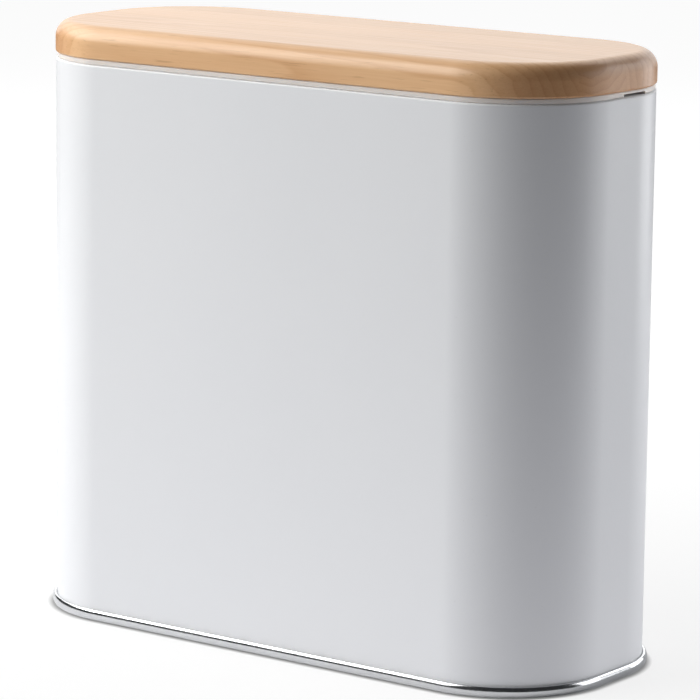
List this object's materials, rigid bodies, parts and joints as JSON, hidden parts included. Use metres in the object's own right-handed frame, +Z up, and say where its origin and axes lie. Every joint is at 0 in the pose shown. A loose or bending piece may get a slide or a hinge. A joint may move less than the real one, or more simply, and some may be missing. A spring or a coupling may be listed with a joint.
{
  "type": "bread bin",
  "caption": "Slim upright bread bin with rounded ends, a white sheet-steel body on a bright seamed base, and a lift-off wooden lid.",
  "frame": {"origin": "middle of the footprint, on the surface the bin stands on", "axes": "+X along the long side to the right, -Y is the front, +Z up"},
  "size_m": [0.3452, 0.1452, 0.318],
  "materials": {
    "white_enamel": "satin-gloss white powder coat on steel sheet",
    "bright_steel": "bright polished plate",
    "lid_wood": "pale straight-grained wood with a clear satin lacquer",
    "plug_wood": "pale wood, thin lacquer",
    "silicone": "milky translucent silicone, matt"
  },
  "bodies": {
    "bin": {"body_shell": "white_enamel", "base_pan": "bright_steel"},
    "lid": {"lid_stave_1": "lid_wood", "lid_stave_2": "lid_wood", "lid_stave_3": "lid_wood", "lid_stave_4": "lid_wood", "plug_board": "plug_wood", "seal_ring": "silicone"}
  },
  "joints": [
    {"name": "lid_lift", "type": "slide", "parent": "bin", "child": "lid", "axis": [0, 0, 1], "range_m": [0, 0.15]}
  ]
}
